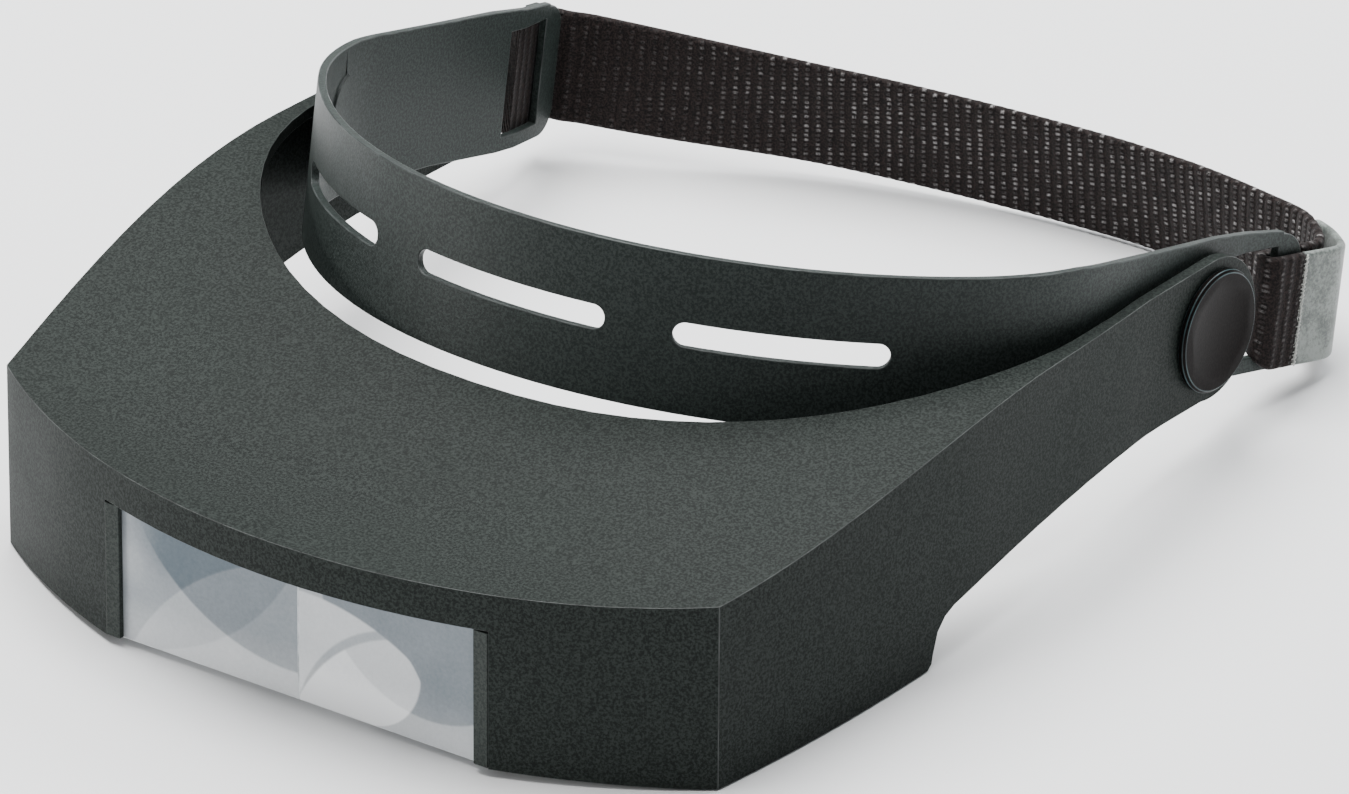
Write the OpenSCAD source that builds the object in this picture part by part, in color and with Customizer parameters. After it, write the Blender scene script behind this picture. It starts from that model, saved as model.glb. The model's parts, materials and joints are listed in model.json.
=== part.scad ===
// Head visor magnifier: a tilting visor shell with a flat twin lens, a headband
// and an elastic strap. X is across the head, Y runs to the back, Z is up.
// The table is z = 0. The tilt axis of the visor is parallel to X.

/* [Stance] */
// backward lean of the visor shell, degrees
visor_lean = 4.6; // [4:0.1:5]

/* [Visor shell] */
// wall thickness of the shell
shell_wall = 2.2; // [1.8:0.1:2.4]
// half width at the front corners
corner_x = 76.4; // [74:0.2:78]
// distance of the front corners ahead of the tilt axis
corner_y = 136; // [134:0.5:139]
// radius of the curved front wall
front_radius = 136; // [120:0.2:140]
// level of the front top edge, measured from the tilt axis
front_top_z = -2.4; // [-4:0.1:-1]
// level of the front bottom edge, measured from the tilt axis
front_bottom_z = -35.2; // [-36:0.1:-34]
// rise of the top plate from the front edge to the arms
plate_rise = 15.6; // [14:0.1:17]
// distance of the rear rim of the top plate ahead of the axis, at the middle
rim_y = 103; // [102:0.5:106]
// radius of the round arm ends
arm_end_r = 13.2; // [12.8:0.1:14]

/* [Lens] */
// half width of the lens notch in the front wall
notch_x = 41; // [39:0.5:43]
// level of the notch's upper edge
notch_top_z = -9.2; // [-11:0.1:-8]
// distance of the lens plate's front face ahead of the axis
lens_y = 152.2; // [151:0.1:153]
// thickness of the lens plate
lens_t = 2.6; // [2:0.1:3]
// height of the lens plate
lens_h = 28.6; // [27:0.2:29]

/* [Headband] */
// outer half width of the band between its straight sides
band_x = 79.6; // [79.4:0.1:79.7]
// thickness of the band
band_t = 1.6; // [1.4:0.1:1.8]
// distance of the band's forehead ahead of the axis
band_front_y = 97; // [95:0.5:98]
// length of the band behind the axis
band_tail_y = 28; // [27:0.5:29]
// upper edge of the band at the forehead
band_top_z = 17.3; // [16:0.5:19]
// lower edge of the band
band_bottom_z = -11.2; // [-12.4:0.1:-10.8]
// height of the ventilation slots
vent_h = 4.4; // [3:0.2:6]

/* [Strap] */
// width of the strap webbing
strap_w = 21; // [18:0.5:21]
// thickness of the strap webbing
strap_t = 1.8; // [1.4:0.1:2]
// thickness of the hook tab
tab_t = 1.6; // [1.2:0.1:1.8]
// distance of the strap's back behind the tilt axis
strap_back_y = 55.2; // [54:0.5:60]

/* [Pivots] */
// diameter of the pivot screw shank
screw_d = 4; // [3.6:0.1:4.2]
// diameter of the cover discs
cover_d = 22.4; // [21:0.2:23]

/* [Hidden] */

$fn = 64;
big = 400;

shell_colour = [0.17, 0.19, 0.18];
band_colour = [0.16, 0.18, 0.17];
cover_colour = [0.11, 0.10, 0.10];
lens_colour = [0.82, 0.88, 0.92, 0.6];
steel_colour = [0.70, 0.70, 0.72];
nylon_colour = [0.85, 0.84, 0.80];
strap_colour = [0.14, 0.12, 0.12];
tab_colour = [0.42, 0.46, 0.43];

// ---- plan outline of the visor shell, right half then mirrored ----
bulge_x = 84.6;
bulge_y = -65;
arm_x = 83.05;
arm_flat_y = -20;
side_r = (pow(bulge_x - corner_x, 2) + pow(corner_y + bulge_y, 2)) / (2 * (bulge_x - corner_x));
rear_r = (pow(arm_flat_y - bulge_y, 2) + pow(bulge_x - arm_x, 2)) / (2 * (bulge_x - arm_x));
front_cy = -corner_y + sqrt(front_radius * front_radius - corner_x * corner_x);
side_a = asin((corner_y + bulge_y) / side_r);
rear_a = asin((arm_flat_y - bulge_y) / rear_r);

// points of an arc around [cx, cy]; angle 0 points to +X
function arc(cx, cy, r, a0, a1, n) =
  [for (i = [0:n]) [cx + r * cos(a0 + (a1 - a0) * i / n), cy + r * sin(a0 + (a1 - a0) * i / n)]];

function flip(points) = [for (i = [len(points) - 1:-1:0]) [-points[i][0], points[i][1]]];

function shell_side(t, end_y) = concat(
  arc(bulge_x - side_r, bulge_y, side_r - t, -side_a * 1.4, 0, 13),
  arc(bulge_x - rear_r, bulge_y, rear_r - t, rear_a / 6, rear_a, 5),
  [[arm_x - t, end_y]]);

// everything inside the shell's plan, t in from its outer faces, over all heights
module shell_plan(t, end_y) {
  translate([0, 0, -big / 2]) linear_extrude(height = big) intersection() {
    polygon(concat(shell_side(t, end_y), flip(shell_side(t, end_y))));
    union() {
      translate([0, front_cy]) circle(r = front_radius - t, $fn = 240);
      translate([-big / 2, front_cy]) square([big, big]);
    }
  }
}

// ---- side profile of the visor shell, [y, z] from the tilt axis ----
rise_start = -158;
rise_end = -50;
function smooth(t) = t * t * (3 - 2 * t);
function plate_z(y) =
  front_top_z + plate_rise * smooth(min(1, max(0, (y - rise_start) / (rise_end - rise_start))));
front_limit = -front_radius + front_cy - 5;
notch_y = -84.8;
arm_low_z = -12.6;
arm_low_y = 15;
function arm_low(y) = arm_low_z - 7.5 * pow((-y - arm_low_y) / 60, 2);
// the level front edge meets the slanting side edges just ahead of the corners
break_y = -corner_y - 1.5;
side_bottom_z = front_bottom_z + (notch_y - break_y) * tan(visor_lean);

function plate_line(dz) = [for (y = [rise_start:6:rise_end]) [y, plate_z(y) + dz]];

module side_profile() {
  polygon(concat(
    [[front_limit, front_top_z]],
    plate_line(0),
    arc(0, 0, arm_end_r, 90, -104, 24),
    [for (y = [-arm_low_y:-8:notch_y + 5]) [y, arm_low(y)]],
    [[notch_y + 3.4, arm_low(notch_y + 3.4) - 0.5], [notch_y + 1.4, arm_low(notch_y + 2) - 2.4]],
    [[notch_y + 0.2, side_bottom_z + 2.6], [notch_y - 0.2, side_bottom_z + 0.8]],
    [[notch_y - 1.2, side_bottom_z - 1.2 * tan(visor_lean)]],
    [[break_y, front_bottom_z], [front_limit, front_bottom_z]]));
}

// stands a [y, z] profile across the whole width
module across(width = big) {
  rotate([90, 0, 90]) linear_extrude(height = width, center = true) children();
}

// ---- stance: the side walls' lower edges and the back of the strap stand on the
// table, and the object's middle is over the origin ----
strap_z = 0;
table_gap = 0.03;
axis_height = (-front_bottom_z + break_y * tan(visor_lean)) * cos(visor_lean);
strap_low = strap_w / 2 - strap_z;
band_lean = asin((axis_height - table_gap) / norm([strap_back_y, strap_low]))
  - atan2(strap_low, strap_back_y);
nose_y = (front_cy - front_radius) * cos(visor_lean) + front_bottom_z * sin(visor_lean);
heel_y = strap_back_y * cos(band_lean) + (strap_z + strap_w / 2) * sin(band_lean);
axis_y = -(nose_y + heel_y) / 2;

module visor_pose() {
  translate([0, axis_y, axis_height]) rotate([-visor_lean, 0, 0]) children();
}
module band_pose() {
  translate([0, axis_y, axis_height]) rotate([-band_lean, 0, 0]) children();
}
// children are drawn for the right side (+X)
module on_side(side) {
  if (side > 0) children();
  else mirror([1, 0, 0]) children();
}
// a ring lying across X, from x0 to x1
module ring_x(x0, x1, r_out, r_in) {
  translate([x0, 0, 0]) rotate([0, 90, 0]) difference() {
    cylinder(r = r_out, h = x1 - x0);
    translate([0, 0, -1]) cylinder(r = r_in, h = x1 - x0 + 2);
  }
}
module rod_x(x0, x1, r) {
  translate([x0, 0, 0]) rotate([0, 90, 0]) cylinder(r = r, h = x1 - x0);
}

// ---- pivot stack, distances along X ----
boss_x1 = band_x + 0.6;
washer_x0 = band_x + 0.05;
washer_x1 = band_x + 0.85;
arm_x0 = arm_x - shell_wall;
sink_x0 = arm_x - 1.2;
sink_r = 5.4;
spring_x0 = sink_x0 + 0.3;
spring_x1 = spring_x0 + 0.5;
head_x0 = spring_x1 + 0.05;
head_x1 = head_x0 + 1.2;
cover_x0 = arm_x + 0.3;
cover_x1 = cover_x0 + 1.35;
screw_r = screw_d / 2;
bush_r = 3.5;
boss_r = 5;
head_r = 4;
fit = 0.05;

// ---- visor shell ----
// how far a cut runs past the face that it opens
past = 5;
notch_depth = 30;
// half of the opening behind the top plate: a rounded curve that runs into the arms
rim_half = 81.4;
rim_mid_y = -40.4;
// how full the curve is across and along; 1 and 1 would make an ellipse
rim_full_x = 0.91;
rim_full_y = 1.03;
rim_end_y = 60;
function rim_point(t) =
  [rim_half * pow(sin(t), rim_full_x), rim_mid_y - (rim_y + rim_mid_y) * pow(cos(t), rim_full_y)];
function rim_right() = concat([for (t = [0:5:90]) rim_point(t)], [[rim_half, rim_end_y]]);

module shell_outside() {
  intersection() {
    across() side_profile();
    shell_plan(0, arm_end_r + 5);
  }
}

module shell_inside() {
  intersection() {
    across() polygon(concat(
      [[-big, front_top_z - shell_wall]], plate_line(-shell_wall), [[big, plate_z(0) - shell_wall]],
      [[big, -big], [-big, -big]]));
    shell_plan(shell_wall, big);
  }
}

module rear_opening() {
  intersection() {
    translate([0, 0, -big / 2]) linear_extrude(height = big)
      polygon(concat(rim_right(), flip(rim_right())));
    shell_plan(shell_wall, big);
  }
}

// ledge behind the wall, beside the lens retainer
rail_t = 2;
rail_gap = 0.4;
rail_past = 1.4;
module lens_rail(side) {
  on_side(side) translate([notch_x + rail_gap, -lens_y, front_bottom_z])
    cube([rail_t, lens_t + rail_past, lens_h]);
}

module visor_shell() {
  color(shell_colour) visor_pose() difference() {
    union() {
      difference() {
        shell_outside();
        shell_inside();
        rear_opening();
      }
      for (side = [-1, 1]) lens_rail(side);
    }
    // lens notch, open at the bottom
    translate([-notch_x, front_limit, front_bottom_z - past])
      cube([2 * notch_x, notch_depth, notch_top_z - front_bottom_z + past]);
    // seat for the lens plate's upper edge, behind the wall
    translate([-lens_half_x - seat_gap, -lens_y - seat_gap, front_bottom_z - past])
      cube([2 * (lens_half_x + seat_gap), lens_t + 2, lens_h + seat_gap + past]);
    rotate([0, 90, 0]) cylinder(r = bush_r, h = big, center = true);
    // sunk seats for the spring washers and screw heads
    for (side = [-1, 1]) on_side(side) rod_x(sink_x0, arm_x + 1, sink_r);
  }
}

// ---- lens plate and retainers ----
lens_half_x = notch_x - 0.8;
lens_z0 = front_bottom_z;
seat_gap = 0.3;
// half the fine gap between the two halves
lens_split = 0.02;
module lens_half(side) {
  on_side(side) translate([lens_split, -lens_y, lens_z0])
    cube([lens_half_x - lens_split, lens_t, lens_h]);
}
module lens_left() color(lens_colour) visor_pose() lens_half(1);
module lens_right() color(lens_colour) visor_pose() lens_half(-1);

// a channel that grips the lens end from in front and behind
clip_lip = 2.2;
clip_t = 1.1;
clip_h = notch_top_z - front_bottom_z - 0.6;
clip_fit = 0.05;
module lens_clip(side) {
  on_side(side) translate([0, 0, lens_z0 + 0.2]) {
    difference() {
      translate([lens_half_x - clip_lip, -lens_y - clip_t, 0])
        cube([notch_x - clip_fit - lens_half_x + clip_lip, lens_t + 2 * clip_t, clip_h]);
      translate([0, -lens_y - clip_fit, -1])
        cube([lens_half_x + clip_fit, lens_t + 2 * clip_fit, lens_h + 2]);
    }
  }
}
module lens_clip_left() color(shell_colour) visor_pose() lens_clip(1);
module lens_clip_right() color(shell_colour) visor_pose() lens_clip(-1);

// ---- arm bushes ----
module arm_bush(side) {
  on_side(side) ring_x(arm_x0, sink_x0, bush_r - 0.02, screw_r + fit);
}
module arm_bush_left() color(nylon_colour) visor_pose() arm_bush(1);
module arm_bush_right() color(nylon_colour) visor_pose() arm_bush(-1);

// ---- headband ----
band_corner_r = 52;
band_corner_y = -30;
band_cx = band_x - band_corner_r;
band_dy = band_front_y + band_corner_y;
band_front_r = (band_dy * band_dy + band_cx * band_cx - band_corner_r * band_corner_r)
  / (2 * (band_dy - band_corner_r));
band_cy = -band_front_y + band_front_r;
band_join_a = atan2(band_corner_y - band_cy, band_cx);

// the open ends spread a little behind the pivots
flare_y = 13.6;
tail_x = band_x + 2.4;
tail_slope = (tail_x - band_x) / (band_tail_y - flare_y);
// outer face of the band's end at a distance behind the axis
function tail_face(y) = band_x + max(0, y - flare_y) * tail_slope;

// plan of half the band, t in from its outer face, and how far it runs past the end
function band_right(t, past) = concat(
  arc(0, band_cy, band_front_r - t, -90, band_join_a, 20),
  arc(band_cx, band_corner_y, band_corner_r - t, band_join_a * 0.94, 0, 14),
  [[band_x - t, flare_y], [tail_x - t, band_tail_y], [tail_x - t, band_tail_y + past]]);
module band_plan(t, past) {
  polygon(concat(band_right(t, past), flip(band_right(t, past))));
}

tail_corner_r = 5;
tail_top_z = 12.6;
tail_bottom_z = band_bottom_z - 1.2;
slot_y0 = 9.4;
slot_y1 = 21.8;
slot_h = 20;
slot_z = strap_z + 0.4;

module band_profile() {
  difference() {
    polygon([
      [-big, band_top_z], [-38, band_top_z], [-14, band_top_z - 1.4], [4, band_top_z - 2.3],
      [band_tail_y, tail_top_z], [band_tail_y, tail_bottom_z], [8, tail_bottom_z],
      [-12, band_bottom_z], [-big, band_bottom_z]]);
    // rounded tail corners
    for (corner = [[tail_top_z, -1], [tail_bottom_z, 1]])
      translate([band_tail_y, corner[0]]) difference() {
        translate([-tail_corner_r, corner[1] > 0 ? -1 : -tail_corner_r])
          square([tail_corner_r + 1, tail_corner_r + 1]);
        translate([-tail_corner_r, corner[1] * tail_corner_r]) circle(r = tail_corner_r);
      }
  }
}

// the three slots' ends, in degrees round the front arc
vent_middle_a = 13.6;
vent_side_a0 = 22;
vent_side_a1 = 47.4;
vent_cut = 20;
// a slot with round ends, cut along the radius that lies at the given angle
module vent_slot(a0, a1) {
  half = band_front_r * sin((a1 - a0) / 2) - vent_h / 2;
  translate([0, band_cy, (band_top_z + band_bottom_z) / 2]) rotate([0, 0, (a0 + a1) / 2])
    rotate([90, 0, 0]) translate([0, 0, band_front_r - vent_cut]) {
      for (s = [-1, 1]) translate([s * half, 0, 0]) cylinder(r = vent_h / 2, h = 2 * vent_cut);
      translate([-half, -vent_h / 2, 0]) cube([2 * half, vent_h, 2 * vent_cut]);
    }
}

pad_r = 7;
pad_y = -41.7;
pad_z = 5;
pad_rise = 0.5;
pad_sunk = 0.3;
// a wall that follows the band's plan between two depths from its outer face
module band_wall(t0, t1) {
  translate([0, 0, -big / 2]) linear_extrude(height = big) difference() {
    band_plan(t0, 0);
    band_plan(t1, 1);
  }
}

module headband() {
  color(band_colour) band_pose() difference() {
    union() {
      intersection() {
        across() band_profile();
        band_wall(0, band_t);
      }
      // raised half-round pads inside, ahead of the pivots
      intersection() {
        band_wall(band_t - pad_sunk, band_t + pad_rise);
        across() intersection() {
          translate([pad_y, pad_z]) circle(r = pad_r);
          translate([pad_y - 2 * pad_r, pad_z - pad_r]) square([2 * pad_r, 2 * pad_r]);
        }
      }
      for (side = [-1, 1]) on_side(side) rod_x(band_x - 0.2, boss_x1, boss_r);
    }
    vent_slot(-vent_middle_a, vent_middle_a);
    vent_slot(vent_side_a0, vent_side_a1);
    vent_slot(-vent_side_a1, -vent_side_a0);
    // strap slots
    translate([-big / 2, slot_y0, slot_z - slot_h / 2]) cube([big, slot_y1 - slot_y0, slot_h]);
    // blind holes for the pivot screws
    for (side = [-1, 1]) on_side(side) rod_x(band_x - band_t + 0.6, boss_x1 + 1, screw_r + 0.02);
  }
}

// ---- pivot hardware ----
washer_r = 10.2;
module friction_washer(side) {
  on_side(side) ring_x(washer_x0, washer_x1, washer_r, boss_r + 0.2);
}
module friction_washer_left() color(nylon_colour) band_pose() friction_washer(1);
module friction_washer_right() color(nylon_colour) band_pose() friction_washer(-1);

// the cross recess in the screw head
recess_length = 4;
recess_width = 0.9;
recess_depth = 0.8;
module pivot_screw(side) {
  on_side(side) difference() {
    union() {
      rod_x(band_x - band_t + 0.7, head_x0 + 0.1, screw_r);
      rod_x(head_x0, head_x1, head_r);
    }
    for (a = [0, 90]) rotate([a, 0, 0])
      translate([head_x1 - recess_depth, -recess_length / 2, -recess_width / 2])
        cube([2 * recess_depth, recess_length, recess_width]);
  }
}
module pivot_screw_left() color(steel_colour) band_pose() pivot_screw(1);
module pivot_screw_right() color(steel_colour) band_pose() pivot_screw(-1);

spring_r = 5;
module spring_washer(side) {
  on_side(side) ring_x(spring_x0, spring_x1, spring_r, screw_r + 0.15);
}
module spring_washer_left() color(steel_colour) band_pose() spring_washer(1);
module spring_washer_right() color(steel_colour) band_pose() spring_washer(-1);

cover_r = cover_d / 2;
cover_bevel = 0.5;
// profile of the cover, turned about the pivot axis: a shallow cap with a
// bevelled rim, a fine step and an inner collar that grips the screw head
module pivot_cover(side) {
  depth = cover_x1 - cover_x0;
  roof = cover_x1 - head_x1 - 0.05;
  on_side(side) translate([cover_x1, 0, 0]) rotate([0, -90, 0]) rotate_extrude()
    polygon([
      [0, 0.12], [cover_r - 3.4, 0.12], [cover_r - 3, 0], [cover_r - cover_bevel, 0],
      [cover_r, cover_bevel], [cover_r, depth], [cover_r - 1.2, depth], [cover_r - 1.2, roof],
      [head_r + 1.1, roof], [head_r + 1.1, depth + 0.5], [head_r + 0.02, depth + 0.5],
      [head_r + 0.02, roof], [0, roof]]);
}
module pivot_cover_left() color(cover_colour) band_pose() pivot_cover(1);
module pivot_cover_right() color(cover_colour) band_pose() pivot_cover(-1);

// ---- strap ----
layer_gap = 0.3;
// centre lines of the webbing outside and inside the band's end
function outer_at(y) = tail_face(y) + layer_gap + strap_t / 2;
function inner_at(y) = tail_face(y) - band_t - layer_gap - strap_t / 2;
fold_y = slot_y1 - 0.4;
fold_x = (outer_at(fold_y) + inner_at(fold_y)) / 2;
fold_r = (outer_at(fold_y) - inner_at(fold_y)) / 2;
seam_y = 27;
// the strap's adjustable end hangs a little lower than its run behind the head
near_z = strap_z - 1.5;
fixed_end_y = flare_y + 0.4;
slot_play = 0.4;

// the strap's run behind the head: x, and how far it lies ahead of its backmost line
run_points = [
  [-79.4, 24.6], [-76, 22.8], [-70, 21], [-56, 16.8], [-38, 11], [-19, 6], [1.5, 2.3], [20, 0.3],
  [33, 0], [44, 1.2], [54, 3.8], [63, 6.8], [70.5, 9.4], [75.4, 12.6], [78.9, 15.8], [80.3, 18.4],
  [80.3, 21.2], [79.6, 24], [78.9, 26.4]
];

// centre line of the webbing in plan, from its fixed end to the fold round the near end bar
function strap_line() = concat(
  [[-outer_at(fixed_end_y), fixed_end_y], [-outer_at(band_tail_y), band_tail_y]],
  [for (p = run_points) [p[0], strap_back_y - strap_t / 2 - p[1]]],
  [[inner_at(fold_y + 1.5), fold_y + 1.5]],
  arc(fold_x, fold_y, fold_r, 180, 360, 10));

// centre line of the end that comes back outside the band
function strap_return() = concat(
  arc(fold_x, fold_y, fold_r, 280, 360, 5),
  [[outer_at(seam_y), seam_y - 0.2]]);

// centre line of the hook tab, from the seam round the rear corner
function tab_line() = [
  [outer_at(seam_y), seam_y], [84.1, 32], [84.6, 35.6], [83.9, 38], [82.2, 40],
  [77.6, 43.9], [72, 46.8]];

function unit(v) = v / norm(v);
function heading(p, i) = unit(p[min(i + 1, len(p) - 1)] - p[max(i - 1, 0)]);
function side_step(p, i, d) = p[i] + d * [-heading(p, i)[1], heading(p, i)[0]];
// a ribbon of even thickness around a centre line
module ribbon(points, t, width, z) {
  translate([0, 0, z - width / 2]) linear_extrude(height = width) polygon(concat(
    [for (i = [0:len(points) - 1]) side_step(points, i, t / 2)],
    [for (i = [len(points) - 1:-1:0]) side_step(points, i, -t / 2)]));
}

module strap_webbing() {
  color(strap_colour) band_pose() difference() {
    union() {
      ribbon(strap_line(), strap_t, strap_w, strap_z);
      ribbon(strap_return(), strap_t, strap_w, near_z);
    }
    // drawn together where it passes through the slot
    for (edge = [-1, 1])
      translate([tail_x - 6, slot_y0, slot_z + edge * (slot_h / 2 - slot_play + big / 2)])
        translate([0, 0, -big / 2]) cube([12, fold_y - slot_y0 + 2, big]);
  }
}
module strap_hook_tab() {
  color(tab_colour) band_pose() ribbon(tab_line(), tab_t, strap_w, near_z);
}

stitch_r = 0.25;
stitch_count = 9;
stitch_length = 2.4;
stitch_pitch = 2.2;
module strap_stitching() {
  color(nylon_colour) band_pose()
    for (i = [0:stitch_count - 1])
      translate([outer_at(seam_y) + strap_t / 2 + stitch_r + 0.02, seam_y - 1.4,
        near_z + (i - (stitch_count - 1) / 2) * stitch_pitch])
        rotate([-90, 0, 0]) cylinder(r = stitch_r, h = stitch_length, $fn = 16);
}

// a clip that presses the strap's fixed end against the band
clip_plate = 1.2;
anchor_w = 3.4;
anchor_h = 23;
anchor_y = slot_y1 + 0.8;
module strap_anchor_clip() {
  color(band_colour) band_pose() mirror([1, 0, 0])
    translate([tail_face(anchor_y + anchor_w) + 0.1, anchor_y, strap_z - anchor_h / 2])
      difference() {
        cube([layer_gap + strap_t + clip_plate, anchor_w, anchor_h]);
        translate([-1, -1, anchor_h / 2 - strap_w / 2 - 0.1])
          cube([1 + layer_gap + strap_t, anchor_w + 2, strap_w + 0.2]);
      }
}

visor_shell();
lens_left();
lens_right();
lens_clip_left();
lens_clip_right();
arm_bush_left();
arm_bush_right();
headband();
friction_washer_left();
friction_washer_right();
pivot_screw_left();
pivot_screw_right();
spring_washer_left();
spring_washer_right();
pivot_cover_left();
pivot_cover_right();
strap_webbing();
strap_hook_tab();
strap_stitching();
strap_anchor_clip();
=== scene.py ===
import json
import math
import random

import bmesh
import bpy
from mathutils import Matrix, Vector

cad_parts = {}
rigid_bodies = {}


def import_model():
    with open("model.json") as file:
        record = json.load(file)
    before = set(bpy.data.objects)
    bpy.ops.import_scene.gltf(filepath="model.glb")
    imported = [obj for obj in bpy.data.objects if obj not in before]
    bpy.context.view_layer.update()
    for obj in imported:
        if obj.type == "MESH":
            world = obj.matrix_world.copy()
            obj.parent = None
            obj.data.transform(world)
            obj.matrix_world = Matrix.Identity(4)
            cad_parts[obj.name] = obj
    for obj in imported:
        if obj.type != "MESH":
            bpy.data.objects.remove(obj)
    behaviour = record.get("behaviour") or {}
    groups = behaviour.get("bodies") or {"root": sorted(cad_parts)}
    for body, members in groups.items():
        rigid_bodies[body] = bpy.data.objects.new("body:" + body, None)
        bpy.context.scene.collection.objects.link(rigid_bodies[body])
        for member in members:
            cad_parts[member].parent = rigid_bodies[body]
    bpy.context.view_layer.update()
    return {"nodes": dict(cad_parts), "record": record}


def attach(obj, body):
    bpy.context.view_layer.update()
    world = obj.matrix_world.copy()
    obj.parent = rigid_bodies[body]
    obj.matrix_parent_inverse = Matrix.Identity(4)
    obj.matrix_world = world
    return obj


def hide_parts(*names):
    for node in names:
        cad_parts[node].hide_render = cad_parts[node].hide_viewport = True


for old in list(bpy.data.objects):
    bpy.data.objects.remove(old, do_unlink=True)

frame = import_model()
NODES = frame["nodes"]
MM = 0.001

# The tilt axis and the band's backward lean, as in the CAD model.
AXIS = Vector(frame["record"]["behaviour"]["joints"][0]["pos_m"])
BAND_LEAN = math.radians(14.548)
VISOR_LEAN = math.radians(4.6)
BAND = Matrix.Translation(AXIS) @ Matrix.Rotation(-BAND_LEAN, 4, "X")
VISOR = Matrix.Translation(AXIS) @ Matrix.Rotation(-VISOR_LEAN, 4, "X")


# ---------------------------------------------------------------- camera

VIEW_ANGLES = (37.75, 29.8, -2.8)  # round, up and roll, in degrees
VIEW_DISTANCE = 2.151
VIEW_TARGET = Vector((0.0050, 0.0, 0.0124))
SENSOR_WIDTH, FOCAL_LENGTH = 36.0, 328.4  # millimetres


def add_camera():
    """A long lens at the photo's viewing angle."""
    azimuth, elevation, roll = (math.radians(v) for v in VIEW_ANGLES)
    right = Vector((math.cos(azimuth), math.sin(azimuth), 0.0))
    back = Vector((math.sin(azimuth) * math.cos(elevation),
                   -math.cos(azimuth) * math.cos(elevation), math.sin(elevation)))
    up = back.cross(right)
    turned_right = right * math.cos(roll) + up * math.sin(roll)
    turned_up = up * math.cos(roll) - right * math.sin(roll)
    place = Matrix((turned_right, turned_up, back)).transposed().to_4x4()
    place.translation = VIEW_TARGET + back * VIEW_DISTANCE
    data = bpy.data.cameras.new("camera")
    data.sensor_width = SENSOR_WIDTH
    data.lens = FOCAL_LENGTH
    data.clip_start = 0.1
    data.clip_end = 30.0
    camera = bpy.data.objects.new("camera", data)
    bpy.context.collection.objects.link(camera)
    camera.matrix_world = place
    bpy.context.scene.camera = camera


# ---------------------------------------------------------------- materials

def colour_value(value):
    """An RGB tuple with its alpha; anything else as it is."""
    return (*value, 1.0) if isinstance(value, tuple) else value


class Graph:
    """A small helper for building node materials."""

    def __init__(self, name):
        self.material = bpy.data.materials.new(name)
        self.material.use_nodes = True
        self.tree = self.material.node_tree
        self.shader = self.tree.nodes["Principled BSDF"]

    def node(self, kind, **settings):
        made = self.tree.nodes.new(kind)
        for key, value in settings.items():
            setattr(made, key, value)
        return made

    def feed(self, socket, value):
        if isinstance(value, bpy.types.NodeSocket):
            self.tree.links.new(value, socket)
        else:
            socket.default_value = value

    def math(self, operation, a, b=0.0, c=0.0, clamp=False):
        made = self.node("ShaderNodeMath", operation=operation, use_clamp=clamp)
        for socket, value in zip(made.inputs, (a, b, c)):
            self.feed(socket, value)
        return made.outputs[0]

    def smooth(self, value, low, high, to_low=0.0, to_high=1.0):
        """Eases from to_low to to_high while the value goes from low to high."""
        made = self.node("ShaderNodeMapRange", interpolation_type="SMOOTHSTEP")
        for key, v in (("Value", value), ("From Min", low), ("From Max", high),
                       ("To Min", to_low), ("To Max", to_high)):
            self.feed(made.inputs[key], v)
        return made.outputs[0]

    def coords(self, kind="Object"):
        return self.node("ShaderNodeTexCoord").outputs[kind]

    def split(self, vector):
        made = self.node("ShaderNodeSeparateXYZ")
        self.feed(made.inputs[0], vector)
        return made.outputs

    def noise(self, vector, scale, detail=2.0, roughness=0.5):
        made = self.node("ShaderNodeTexNoise")
        self.feed(made.inputs["Vector"], vector)
        made.inputs["Scale"].default_value = scale
        made.inputs["Detail"].default_value = detail
        made.inputs["Roughness"].default_value = roughness
        return made.outputs[0]

    def mix(self, factor, a, b):
        made = self.node("ShaderNodeMix", data_type="RGBA")
        self.feed(made.inputs[0], factor)
        for socket, value in ((made.inputs[6], a), (made.inputs[7], b)):
            self.feed(socket, colour_value(value))
        return made.outputs[2]

    def bump(self, height, strength, distance):
        made = self.node("ShaderNodeBump")
        made.inputs["Strength"].default_value = strength
        made.inputs["Distance"].default_value = distance
        self.feed(made.inputs["Height"], height)
        return made.outputs[0]

    def set(self, **values):
        """Feeds the shader's sockets, named with _ for each space, and gives the material."""
        for key, value in values.items():
            self.feed(self.shader.inputs[key.replace("_", " ")], colour_value(value))
        return self.material


def moulded_plastic(name, dark, light, rough, grain, gloss):
    """Grained black plastic: a fine speckle, soft mottling and a leathery bump."""
    g = Graph(name)
    at = g.coords()
    fine = g.noise(at, 2000.0, 2.0, 0.75)
    pores = g.noise(at, 3800.0, 1.0, 0.5)
    broad = g.noise(at, 24.0, 3.0, 0.55)
    speck = g.smooth(fine, 0.38, 0.64)
    tone = g.math("MULTIPLY_ADD", broad, 0.35, g.math("MULTIPLY", speck, 0.65))
    colour = g.mix(tone, dark, light)
    roughness = g.smooth(broad, 0.3, 0.7, rough - 0.05, rough + 0.07)
    height = g.math("MULTIPLY_ADD", pores, 0.35, fine)
    normal = g.bump(height, 0.55 * grain, 0.00012)
    return g.set(Base_Color=colour, Roughness=roughness, Normal=normal, Specular_IOR_Level=gloss)


def edge_wear_and_highlight(name, dark, light):
    """The same plastic on its rounded edges, lighter and smoother: partly rubbed by handling,
    partly a painted highlight along the edges.
    """
    g = Graph(name)
    at = g.coords()
    # the lighter edge tone is partly wear and partly a painted highlight
    patches = g.noise(at, 160.0, 3.0, 0.6)
    colour = g.mix(g.smooth(patches, 0.35, 0.65), dark, light)
    return g.set(Base_Color=colour, Specular_IOR_Level=0.25,
                 Roughness=g.smooth(patches, 0.3, 0.7, 0.42, 0.3),
                 Normal=g.bump(g.noise(at, 2200.0), 0.25, 0.00006))


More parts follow.
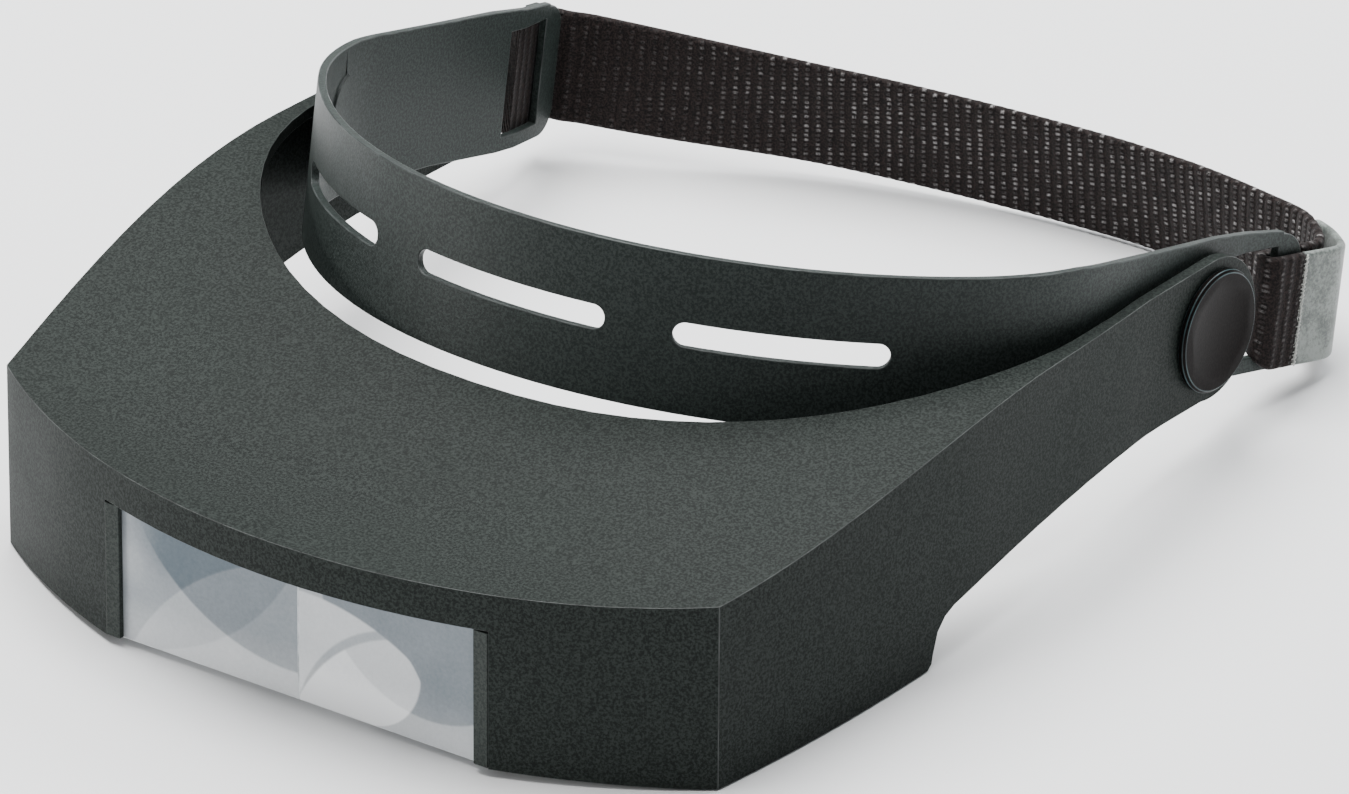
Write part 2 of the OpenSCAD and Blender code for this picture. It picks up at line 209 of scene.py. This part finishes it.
def turned_metal(name, colour):
    """Zinc-plated steel with fine tool marks and uneven stains."""
    g = Graph(name)
    at = g.coords()
    lines = g.noise(at, 4200.0, 2.0, 0.6)
    stain = g.noise(at, 260.0, 3.0, 0.6)
    tint = g.mix(stain, tuple(c * 0.72 for c in colour), colour)
    return g.set(Base_Color=tint, Metallic=1.0, Roughness=g.smooth(lines, 0.3, 0.7, 0.24, 0.4),
                 Normal=g.bump(lines, 0.2, 0.00003))


def nylon(name, colour):
    """Slightly translucent moulded nylon."""
    g = Graph(name)
    at = g.coords()
    tint = g.mix(g.noise(at, 300.0, 3.0), tuple(c * 0.82 for c in colour), colour)
    return g.set(Base_Color=tint, Roughness=g.smooth(g.noise(at, 900.0), 0.3, 0.7, 0.38, 0.52),
                 Subsurface_Weight=0.15, Normal=g.bump(g.noise(at, 2600.0), 0.15, 0.00004))


RIB_PITCH, FLECK_PITCH = 2.3 * MM, 1.0 * MM


def webbing(name):
    """Elastic weave: ribs across the strap, each a row of light flecks on brown-black yarn."""
    g = Graph(name)
    u, v, _ = g.split(g.coords("UV"))
    wobble = g.noise(g.coords(), 420.0, 2.0)
    along = g.math("MULTIPLY", g.math("MULTIPLY_ADD", wobble, 0.7 * MM, u), 1.0 / RIB_PITCH)
    row = g.math("FLOOR", along)
    stagger = g.math("MULTIPLY", g.math("MODULO", row, 2.0), 0.5)
    across = g.math("ADD", g.math("MULTIPLY", v, 1.0 / FLECK_PITCH), stagger)
    in_row = g.math("ABSOLUTE", g.math("SUBTRACT", g.math("FRACT", along), 0.5))
    in_dot = g.math("ABSOLUTE", g.math("SUBTRACT", g.math("FRACT", across), 0.5))
    cell = g.node("ShaderNodeCombineXYZ")
    g.feed(cell.inputs[0], row)
    g.feed(cell.inputs[1], g.math("FLOOR", across))
    chance = g.node("ShaderNodeTexWhiteNoise", noise_dimensions="2D")
    g.feed(chance.inputs["Vector"], cell.outputs[0])
    lit = g.smooth(chance.outputs["Value"], 0.3, 1.0, 0.15, 1.0)
    yarn = g.noise(g.coords(), 2600.0, 2.0, 0.7)
    dot = g.math("MULTIPLY", g.smooth(in_row, 0.24, 0.05), g.smooth(in_dot, 0.40, 0.10))
    fleck = g.math("MULTIPLY", g.math("MULTIPLY", dot, lit), g.smooth(yarn, 0.3, 0.62))
    # the flecks fade towards the far end, and are painted darker as shade where the strap folds
    # through the near slot
    x = g.split(g.coords())[0]
    far_fleck_fade = g.smooth(x, -72 * MM, -20 * MM, 0.12, 1.0)
    near_slot_shade = g.smooth(x, 78 * MM, 82 * MM, 1.0, 0.25)
    fleck = g.math("MULTIPLY", fleck, g.math("MULTIPLY", far_fleck_fade, near_slot_shade))
    ground = g.mix(g.smooth(yarn, 0.35, 0.68), (0.0018, 0.0013, 0.0013), (0.025, 0.0175, 0.0162))
    colour = g.mix(fleck, ground, (0.37, 0.355, 0.35))
    rib = g.smooth(in_row, 0.5, 0.0)
    height = g.math("ADD", g.math("MULTIPLY_ADD", dot, 0.7, rib), g.math("MULTIPLY", yarn, 0.5))
    return g.set(Base_Color=colour, Roughness=g.smooth(yarn, 0.2, 0.8, 0.72, 0.92),
                 Sheen_Weight=0.05, Sheen_Roughness=0.45, Specular_IOR_Level=0.15,
                 Normal=g.bump(height, 0.8, 0.00035))


def hook_tape(name):
    """Smooth back of a hook tape: pale grey-green, faintly speckled and slightly shiny."""
    g = Graph(name)
    at = g.coords()
    speck = g.noise(at, 1500.0, 3.0, 0.75)
    cloud = g.noise(at, 130.0, 3.0, 0.6)
    tone = g.math("MULTIPLY_ADD", cloud, 0.5, g.math("MULTIPLY", speck, 0.5))
    colour = g.mix(g.smooth(tone, 0.40, 0.60), (0.055, 0.068, 0.060), (0.20, 0.222, 0.205))
    return g.set(Base_Color=colour, Roughness=g.smooth(speck, 0.3, 0.7, 0.38, 0.55),
                 Normal=g.bump(g.math("ADD", speck, cloud), 0.3, 0.0001), Sheen_Weight=0.1)


def thread(name, dark, light):
    """Twisted sewing yarn."""
    g = Graph(name)
    at = g.coords()
    twist = g.noise(at, 5200.0, 2.0)
    return g.set(Base_Color=g.mix(twist, dark, light), Roughness=0.8, Sheen_Weight=0.3,
                 Normal=g.bump(twist, 0.5, 0.00006))


def lens_acrylic(name, side):
    """Clear acrylic. Each half is ground as crossing round fields. The pale arcs, bright lobe,
    dark crescent and paler bottom along them are painted reflection and painted light seen through
    the lens.

    Distances are in millimetres on the front face: across from the middle, up from the table."""
    g = Graph(name)
    at = g.coords()
    x, _, z = g.split(at)
    across = g.math("DIVIDE", x, MM)
    height = g.math("DIVIDE", z, MM)

    def both(a, b):
        return g.math("MULTIPLY", a, b)

    def outside(a):
        return g.math("SUBTRACT", 1.0, a)

    def disc(cx, cz, radius, soft=0.3):
        """1 inside a round field of the plate, 0 outside it."""
        dx = g.math("SUBTRACT", across, cx)
        dz = g.math("SUBTRACT", height, cz)
        reach = g.math("SQRT", g.math("ADD", both(dx, dx), both(dz, dz)))
        return g.smooth(reach, radius + soft, radius - soft)

    # painted light: the lens is paler towards the bottom
    low = g.smooth(height, 13.0, 2.0)
    if side < 0:
        # a leaf between two arcs, crossed by a third; painted paler under each of them as
        # reflection and light seen through the lens
        upper, lower = disc(8.1, -23.8, 50.6), disc(-42.8, 46.8, 47.1)
        crossing = disc(-2.0, 43.5, 37.4)
        leaf = both(upper, lower)
        edge = both(g.smooth(across, -29.0, -37.5), g.smooth(height, 9.0, 19.0))
        fade = g.smooth(height, 25.0, 12.0, 0.1, 1.0)
        base = 0.05
        fields = [(leaf, 0.15), (both(outside(crossing), fade), 0.30), (outside(lower), 0.25),
                  (edge, 0.28), (low, 0.20)]
    else:
        # a painted bright lobe of reflected light fills the inner side; a thin painted dark
        # crescent and a long arc cross it
        inner_part = g.smooth(across, 12.9, 12.5)
        tip = both(disc(14.0, 13.2, 12.1), disc(8.6, 2.9, 20.0))
        outer_part = both(outside(inner_part), tip)
        lobe = both(disc(1.4, -22.7, 44.7), g.math("ADD", inner_part, outer_part))
        arc = disc(27.5, 29.0, 23.2)
        under = disc(29.0, -12.0, 32.0)
        crescent = both(both(disc(26.1, -6.2, 27.2), outside(under)), lobe)
        base = 0.20
        fields = [(lobe, 0.50), (both(both(lobe, outside(arc)), under), 0.18), (crescent, -0.26),
                  (both(outside(lobe), outside(arc)), 0.25), (low, 0.22)]
    # the summed tone is painted reflection and painted light seen through the clear acrylic
    tone = base
    for mask, weight in fields:
        tone = g.math("MULTIPLY_ADD", mask, weight, tone)
    mist = g.math("MULTIPLY_ADD", g.noise(at, 1300.0, 2.0, 0.7), 0.12, -0.06)
    cloud = g.math("MULTIPLY_ADD", g.noise(at, 90.0, 2.0, 0.5), 0.12, -0.06)
    tone = g.math("ADD", g.math("ADD", tone, cloud), mist, clamp=True)
    colour = g.mix(g.math("POWER", tone, 1.3), (0.09, 0.125, 0.155), (0.97, 0.985, 1.0))
    return g.set(Base_Color=colour, Roughness=g.smooth(tone, 0.0, 1.0, 0.14, 0.26),
                 Transmission_Weight=0.12, IOR=1.49, Specular_IOR_Level=0.25,
                 Normal=g.bump(tone, 0.12, 0.0004))


def floor_paint(name):
    """Plain pale floor."""
    g = Graph(name)
    at = g.coords()
    cloud = g.noise(at, 3.0, 2.0)
    return g.set(Base_Color=g.mix(cloud, (0.86, 0.865, 0.87), (0.90, 0.905, 0.91)), Roughness=0.75,
                 Normal=g.bump(g.noise(at, 500.0), 0.03, 0.0002))


# ---------------------------------------------------------------- mesh tools

def add_object(name, mesh, body, materials):
    """A new object that carries the materials and rides on the body, if one is named."""
    made = bpy.data.objects.new(name, mesh)
    bpy.context.collection.objects.link(made)
    for material in materials:
        mesh.materials.append(material)
    if body:
        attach(made, body)
    return made


MERGE, FLAT = 2e-6, math.radians(0.4)


def finished(node, body, material, edge, width=0.28, angle=28.0, segments=2):
    """A copy of a CAD node with clean smooth shading and softly rounded edges that take the edge
    material, for the plastics lighter as wear and as a painted highlight.
    """
    source = NODES[node]
    mesh = source.data.copy()
    mesh.materials.clear()
    work = bmesh.new()
    work.from_mesh(mesh)
    bmesh.ops.remove_doubles(work, verts=work.verts, dist=MERGE)
    bmesh.ops.dissolve_limit(work, angle_limit=FLAT, verts=work.verts, edges=work.edges)
    for face in work.faces:
        face.smooth = True
        face.material_index = 0
    for line in work.edges:
        line.smooth = line.calc_face_angle(0.0) < math.radians(angle)
    work.to_mesh(mesh)
    work.free()
    made = add_object(node + "_finish", mesh, None, [material, edge])
    if mesh.has_custom_normals:
        bpy.context.view_layer.objects.active = made
        bpy.ops.mesh.customdata_custom_splitnormals_clear()
    bevel = made.modifiers.new("edges", "BEVEL")
    bevel.width = width * MM
    bevel.segments = segments
    bevel.limit_method = "ANGLE"
    bevel.angle_limit = math.radians(angle)
    bevel.harden_normals = True
    # the bevel faces take the edge material: a lighter edge that is partly wear and partly a
    # painted highlight
    bevel.material = 1
    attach(made, body)
    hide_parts(node)
    return made


def catmull(points, step):
    """Even samples, step metres apart, on a smooth curve through the points."""
    dense = []
    for i in range(len(points) - 1):
        a = points[max(i - 1, 0)]
        b, c = points[i], points[i + 1]
        d = points[min(i + 2, len(points) - 1)]
        n = max(2, int((c - b).length / step * 3))
        for k in range(n):
            t = k / n
            dense.append(0.5 * ((2 * b) + (c - a) * t + (2 * a - 5 * b + 4 * c - d) * t * t
                                + (3 * b - 3 * c + d - a) * t ** 3))
    dense.append(points[-1].copy())
    lengths = [0.0]
    for a, b in zip(dense, dense[1:]):
        lengths.append(lengths[-1] + (b - a).length)
    count = max(2, round(lengths[-1] / step))
    out, j = [], 0
    for i in range(count + 1):
        want = lengths[-1] * i / count
        while j < len(lengths) - 2 and lengths[j + 1] < want:
            j += 1
        span = lengths[j + 1] - lengths[j] or 1e-9
        out.append(dense[j].lerp(dense[j + 1], (want - lengths[j]) / span))
    return out


ROUND_EDGE = (22, 45, 67, 90, 113, 135, 158)  # degrees round a ribbon's half-round edge


def section(width, thick, across):
    """A flat ribbon's outline with round edges: (across, out) pairs, round the loop."""
    r = thick / 2
    half = width / 2 - r
    rim = [(half + r * math.sin(a), r * math.cos(a)) for a in map(math.radians, ROUND_EDGE)]
    top = [(-half + 2 * half * i / across, r) for i in range(across + 1)]
    loop = top + rim + [(x, -y) for x, y in reversed(top)]
    return loop + [(-x, y) for x, y in reversed(rim)]


def ribbon_mesh(name, line, thick, shape, ripple=0.0, corner=0.0, across=14):
    """A webbing ribbon along a plan line in the band's frame, with woven ribs across it.

    shape(t) gives its lean, the level of its middle and its width; corner rounds its last end."""
    up = Vector((0.0, 0.0, 1.0))
    widest = shape(0.5)[2]
    loop = section(widest, thick, across)
    work = bmesh.new()
    uv = work.loops.layers.uv.new("UVMap")
    rings, places, run = [], [], 0.0
    count = len(line)
    step = (line[1] - line[0]).length
    for i, at in enumerate(line):
        ahead = line[min(i + 1, count - 1)] - line[max(i - 1, 0)]
        ahead.normalize()
        out = Vector((-ahead.y, ahead.x, 0.0))
        lean, level, width = shape(i / (count - 1))
        wide = up * math.cos(lean) - out * math.sin(lean)
        thin = out * math.cos(lean) + up * math.sin(lean)
        if i:
            run += (at - line[i - 1]).length
        left = (count - 1 - i) * step
        trim = 0.0
        if corner and left < corner:
            trim = corner - math.sqrt(max(corner ** 2 - (corner - left) ** 2, 0.0))
        keep = (width - 2 * trim) / widest
        wave = 1.0 + ripple * math.cos(2 * math.pi * run / RIB_PITCH)
        middle = Vector((at.x, at.y, level))
        rings.append([work.verts.new(BAND @ (middle + wide * a * keep + thin * b * wave))
                      for a, b in loop])
        places.append(run)
    for i in range(count - 1):
        for j in range(len(loop)):
            k = (j + 1) % len(loop)
            face = work.faces.new((rings[i][j], rings[i][k], rings[i + 1][k], rings[i + 1][j]))
            face.smooth = True
            for point, (s, t) in zip(face.loops, ((i, j), (i, k), (i + 1, k), (i + 1, j))):
                point[uv].uv = (places[s], loop[t][0] + widest)
    for ring, flip in ((rings[0], False), (rings[-1], True)):
        face = work.faces.new(ring if flip else list(reversed(ring)))
        for point, (a, b) in zip(face.loops, loop):
            point[uv].uv = (a, b)
    bmesh.ops.recalc_face_normals(work, faces=work.faces)
    mesh = bpy.data.meshes.new(name)
    work.to_mesh(mesh)
    work.free()
    return mesh


def tube(work, path, radius, sides=6):
    """Adds a closed tube along a path to a bmesh."""
    turns = [2 * math.pi * k / sides for k in range(sides)]
    rings = []
    for i, at in enumerate(path):
        ahead = (path[min(i + 1, len(path) - 1)] - path[max(i - 1, 0)]).normalized()
        side = ahead.orthogonal().normalized()
        other = ahead.cross(side)
        rings.append([work.verts.new(at + (side * math.cos(a) + other * math.sin(a)) * radius)
                      for a in turns])
    for a, b in zip(rings, rings[1:]):
        for k in range(sides):
            work.faces.new((a[k], a[(k + 1) % sides], b[(k + 1) % sides], b[k])).smooth = True
    work.faces.new(list(reversed(rings[0])))
    work.faces.new(rings[-1])


# ---------------------------------------------------------------- strap

# Distances in millimetres from the tilt axis in the band's frame, as in the CAD model:
# the band's open end, its strap slot, the webbing and tab, the seam and the strap's back.
BAND_X, BAND_T, TAIL_Y, TAIL_X, FLARE_Y = 79.6, 1.6, 28.0, 82.0, 13.6
SLOT_Y1, SLOT_LOW, SLOT_HIGH = 21.8, -9.4, 10.2
STRAP_W, STRAP_T, TAB_T, GAP = 21.0, 1.8, 1.6, 0.3
SEAM_Y, NEAR_Z, BACK_Y = 27.0, -1.5, 54.3
# the run behind the head: x, and how far it lies ahead of the backmost line
STRAP_RUN = (
    (-79.4, 24.6), (-76, 22.8), (-70, 21), (-56, 16.8), (-38, 11), (-19, 6), (1.5, 2.3),
    (20, 0.3), (33, 0), (44, 1.2), (54, 3.8), (63, 6.8), (70.5, 9.4), (75.4, 12.6),
    (78.9, 15.8), (80.3, 18.4), (80.3, 21.2), (79.6, 24), (78.9, 26.4))
TAB_RUN = ((84.1, 32), (84.6, 35.6), (83.9, 38), (82.2, 40), (77.6, 43.9), (72, 46.8))
STRAP_LEAN = math.radians(17.0)


def tail_face(y):
    """The band's outer face at a distance behind the axis."""
    return BAND_X + max(0.0, y - FLARE_Y) * (TAIL_X - BAND_X) / (TAIL_Y - FLARE_Y)


def outer_at(y):
    """Middle of the webbing that lies outside the band's end."""
    return tail_face(y) + GAP + STRAP_T / 2


def inner_at(y):
    """Middle of the webbing that lies inside the band's end."""
    return tail_face(y) - BAND_T - GAP - STRAP_T / 2


def ease(t):
    t = min(max(t, 0.0), 1.0)
    return t * t * (3 - 2 * t)


def plan(points):
    return [Vector((x * MM, y * MM, 0.0)) for x, y in points]


def build_strap(material):
    """The webbing: far end, run behind the head, and the fold through the near slot."""
    fold_y = SLOT_Y1 - 0.4
    fold_x = (outer_at(fold_y) + inner_at(fold_y)) / 2
    fold_r = (outer_at(fold_y) - inner_at(fold_y)) / 2
    fold = [(fold_x + fold_r * math.cos(a), fold_y + fold_r * math.sin(a))
            for a in map(math.radians, range(180, 361, 20))]
    points = [(-outer_at(14.0), 14.0), (-outer_at(21.0), 21.0), (-outer_at(TAIL_Y), TAIL_Y)]
    points += [(x, BACK_Y - ahead) for x, ahead in STRAP_RUN]
    points += [(inner_at(fold_y + 1.5), fold_y + 1.5)] + fold
    points += [(outer_at(24.0), 24.0), (outer_at(SEAM_Y), SEAM_Y - 0.1)]
    line = catmull(plan(points), RIB_PITCH / 5)
    near_half = 70 * MM
    fold_from = (fold_y - 1) * MM
    folded = next(i for i, p in enumerate(line) if p.x > near_half and p.y < fold_from)
    fold_at = folded / (len(line) - 1)
    corner_at = fold_at - 0.13

    def shape(t):
        """Lean, level of the middle and width at a share of the way along."""
        rise, fall = ease((t - 0.08) / 0.26), ease((0.86 - t) / 0.24)
        lean = STRAP_LEAN * rise * fall
        level = NEAR_Z * ease((t - corner_at) / 0.06) + 0.4 * rise * fall
        low, high = level - STRAP_W / 2, level + STRAP_W / 2
        # drawn together where it passes through the slot
        squeeze = ease(1 - abs(t - fold_at + 0.004) / 0.03)
        low += (SLOT_LOW + GAP - low) * squeeze
        high -= max(high - SLOT_HIGH + GAP, 0.0) * squeeze
        return lean, (low + high) / 2 * MM, (high - low) * MM

    mesh = ribbon_mesh("strap_weave", line, STRAP_T * MM, shape, ripple=0.10)
    made = add_object("strap_weave", mesh, "band", [material])
    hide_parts("strap_webbing")


def build_tab(material):
    """The smooth-backed hook tape, from the seam round the rear corner."""
    line = catmull(plan([(outer_at(SEAM_Y), SEAM_Y), *TAB_RUN]), 0.5 * MM)
    mesh = ribbon_mesh("hook_tab", line, TAB_T * MM, lambda t: (0.0, NEAR_Z * MM, STRAP_W * MM),
                       corner=2.4 * MM)
    made = add_object("hook_tab", mesh, "band", [material])
    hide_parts("strap_hook_tab")


def build_seam(material):
    """Overcast stitches that join the tab to the strap, a cord along them and loose fibres."""
    chance = random.Random(5)
    work = bmesh.new()
    face_x = outer_at(SEAM_Y) + STRAP_T / 2
    stitches, stitch_r = 26, 0.14
    cord_steps, cord_r = 49, 0.16
    fibres, fibre_r = 34, 0.045
    for i in range(stitches):
        z = NEAR_Z - 9.7 + 19.4 * i / (stitches - 1) + chance.uniform(-0.12, 0.12)
        reach = 0.42 + chance.uniform(-0.12, 0.15)
        path = [Vector((face_x + lift, SEAM_Y + y, z + slant)) for y, lift, slant in (
            (-reach, -0.18, -0.22), (-reach * 0.6, 0.14, -0.13), (0.0, 0.20, 0.0),
            (reach * 0.6, 0.12, 0.13), (reach, -0.16, 0.22))]
        tube(work, [BAND @ (p * MM) for p in path], stitch_r * MM)
    cord = [Vector((face_x + 0.06, SEAM_Y + chance.uniform(-0.07, 0.07), NEAR_Z - 10.3 + 0.43 * k))
            for k in range(cord_steps)]
    tube(work, [BAND @ (p * MM) for p in cord], cord_r * MM)
    for _ in range(fibres):
        z = NEAR_Z + chance.uniform(-9.8, 9.8)
        y = SEAM_Y + chance.uniform(-0.9, 0.3)
        path = [Vector((face_x + 0.06 + 0.14 * math.sin(k * 0.9), y + chance.uniform(-0.25, 0.25),
                        z + 0.34 * k)) for k in range(4)]
        tube(work, [BAND @ (p * MM) for p in path], fibre_r * MM, sides=4)
    mesh = bpy.data.meshes.new("seam_thread")
    work.to_mesh(mesh)
    work.free()
    made = add_object("seam_thread", mesh, "band", [material])
    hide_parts("strap_stitching")


# ---------------------------------------------------------------- room

def add_area(name, place, aim, size, power, colour=(1.0, 1.0, 1.0)):
    """A soft rectangular light at a place, turned to its aim."""
    data = bpy.data.lights.new(name, "AREA")
    data.shape = "RECTANGLE"
    data.size, data.size_y = size
    data.energy = power
    data.color = colour
    made = bpy.data.objects.new(name, data)
    bpy.context.collection.objects.link(made)
    made.location = place
    made.rotation_euler = (Vector(aim) - Vector(place)).to_track_quat("-Z", "Y").to_euler()


def add_room():
    """A plain pale floor just under the object, an even sky and three soft lights."""
    mesh = bpy.data.meshes.new("floor")
    mesh.from_pydata([(-6, -6, 0), (6, -6, 0), (6, 6, 0), (-6, 6, 0)], [], [(0, 1, 2, 3)])
    floor = add_object("floor", mesh, None, [floor_paint("floor_paint")])
    floor.location.z = -0.2 * MM
    world = bpy.data.worlds.new("studio")
    world.use_nodes = True
    sky = world.node_tree.nodes["Background"]
    sky.inputs["Color"].default_value = (0.97, 0.985, 1.0, 1.0)
    sky.inputs["Strength"].default_value = 0.34
    bpy.context.scene.world = world
    add_area("overhead", (-0.42, 0.22, 1.45), (-0.05, 0, 0), (1.15, 1.5), 66.0)
    add_area("side", (-1.1, -1.0, 0.22), (0, -0.05, 0.02), (0.5, 0.3), 8.5, (1.0, 0.99, 0.97))
    add_area("back", (0.18, 0.95, 0.95), (0.02, 0, 0.03), (0.7, 0.6), 14.0, (0.96, 0.98, 1.0))


# ---------------------------------------------------------------- assembly

def main():
    add_camera()
    add_room()
    shell = moulded_plastic("shell_plastic", (0.0025, 0.0038, 0.0033), (0.029, 0.0355, 0.0322),
                            rough=0.5, grain=0.6, gloss=0.07)
    # lighter rounded shell edges: partly wear, partly a painted highlight along the crests such as
    # the front crease
    shell_edge_wear_and_highlight = edge_wear_and_highlight("shell_edge_wear_and_highlight", (0.014, 0.017, 0.016), (0.045, 0.051, 0.049))
    band = moulded_plastic("band_plastic", (0.0090, 0.0124, 0.0113), (0.041, 0.0515, 0.048),
                           rough=0.44, grain=0.6, gloss=0.16)
    # lighter rounded band edges: partly wear, partly a painted highlight
    band_edge_wear_and_highlight = edge_wear_and_highlight("band_edge_wear_and_highlight", (0.016, 0.020, 0.019), (0.05, 0.058, 0.056))
    clip = moulded_plastic("clip_plastic", (0.016, 0.020, 0.018), (0.045, 0.053, 0.049),
                           rough=0.42, grain=0.7, gloss=0.10)
    cover = moulded_plastic("cover_plastic", (0.0028, 0.0021, 0.0020), (0.0085, 0.0065, 0.0060),
                            rough=0.34, grain=0.25, gloss=0.03)
    # painted cyan highlight along the pivot covers' edges
    cover_edge_highlight = edge_wear_and_highlight("cover_edge_highlight", (0.010, 0.020, 0.022), (0.030, 0.056, 0.060))
    # painted bright highlight lines along the lens edges
    lens_edge_highlight = edge_wear_and_highlight("lens_edge_highlight", (0.55, 0.58, 0.60), (0.90, 0.93, 0.95))
    steel = turned_metal("zinc_steel", (0.62, 0.62, 0.64))
    white_nylon = nylon("natural_nylon", (0.78, 0.77, 0.72))

    finished("visor_shell", "visor", shell, shell_edge_wear_and_highlight, width=0.32)
    finished("headband", "band", band, band_edge_wear_and_highlight, width=0.22)
    finished("strap_anchor_clip", "band", band, band_edge_wear_and_highlight, width=0.2)
    for side in ("left", "right"):
        finished("lens_clip_" + side, "visor", clip, clip, width=0.12)
        lens = lens_acrylic("lens_acrylic_" + side, 1 if side == "left" else -1)
        finished("lens_" + side, "visor", lens, lens_edge_highlight, width=0.15)
        finished("pivot_cover_" + side, "band", cover, cover_edge_highlight, width=0.12, angle=20.0)
        finished("pivot_screw_" + side, "band", steel, steel, width=0.08)
        finished("spring_washer_" + side, "band", steel, steel, width=0.06)
        finished("friction_washer_" + side, "band", white_nylon, white_nylon, width=0.08)
        finished("arm_bush_" + side, "visor", white_nylon, white_nylon, width=0.08)

    build_strap(webbing("strap_webbing_weave"))
    build_tab(hook_tape("hook_tape_back"))
    build_seam(thread("seam_thread_yarn", (0.30, 0.31, 0.29), (0.60, 0.61, 0.57)))


main()
